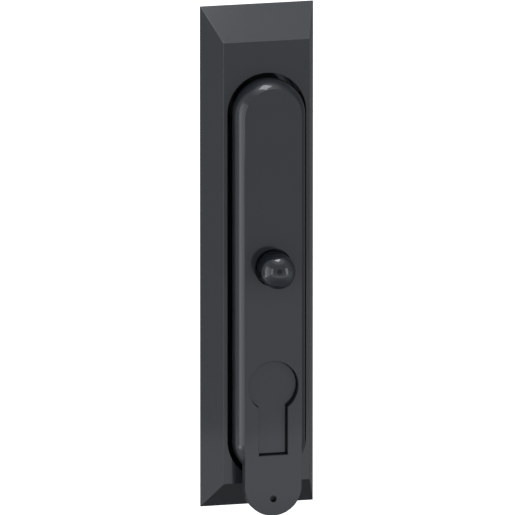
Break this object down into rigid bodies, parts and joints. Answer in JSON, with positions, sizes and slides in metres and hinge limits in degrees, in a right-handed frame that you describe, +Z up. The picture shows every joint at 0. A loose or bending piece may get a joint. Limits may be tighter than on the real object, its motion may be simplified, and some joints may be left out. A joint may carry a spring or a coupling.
{
  "type": "enclosure swing handle lock",
  "caption": "Swing handle lock for an enclosure door: a fold-out lever on a bevelled housing turns a spindle and rod cam, with a ball push button and a blanked profile cylinder position.",
  "frame": {"origin": "centre of the housing's back face, in the plane of the door it lies on", "axes": "+Z up along the housing, -Y out of the door towards the user, +X to the right as the user sees it"},
  "size_m": [0.0388, 0.0554, 0.17],
  "materials": {
    "black_coat": "smooth black powder coat on die-cast zinc",
    "knob_gloss": "polished black",
    "black_rubber": "moulded, matt",
    "brass": "turned",
    "zinc_plated_steel": "bright zinc plate",
    "spring_steel": "hardened, bright",
    "back_plate_steel": "cold rolled sheet"
  },
  "bodies": {
    "housing": {"housing": "black_coat", "gasket": "black_rubber", "threaded_inserts": "brass", "spindle_bush": "brass", "buffers": "black_rubber", "catch_spring": "spring_steel", "catch_screw": "zinc_plated_steel"},
    "spindle": {"spindle": "zinc_plated_steel", "spindle_seal": "black_rubber", "wave_washer": "spring_steel", "circlip": "spring_steel", "stop_disc": "zinc_plated_steel", "rod_cam": "zinc_plated_steel", "rod_pins": "zinc_plated_steel", "cam_washer": "zinc_plated_steel", "cam_screw": "zinc_plated_steel"},
    "lever": {"lever": "black_coat", "hinge_pin": "spring_steel", "lever_back_plate": "back_plate_steel", "plate_screws": "zinc_plated_steel", "cylinder_blank": "black_coat", "blank_screws": "zinc_plated_steel", "button_spring": "spring_steel"},
    "button": {"ball_knob": "knob_gloss", "button_stem": "zinc_plated_steel"}
  },
  "joints": [
    {"name": "spindle_turn", "type": "hinge", "parent": "housing", "child": "spindle", "pos_m": [0, 0, 0.0507], "axis": [0, -1, 0], "range_deg": [0, 90]},
    {"name": "lever_fold", "type": "hinge", "parent": "spindle", "child": "lever", "pos_m": [0, -0.01655, 0.0507], "axis": [-1, 0, 0], "range_deg": [0, 30]},
    {"name": "button_press", "type": "slide", "parent": "lever", "child": "button", "axis": [0, 1, 0], "range_m": [0, 0.0022], "stiffness_N_per_m": 800, "springref_m": -0.003, "deforming": ["button_spring", "catch_spring"]}
  ]
}
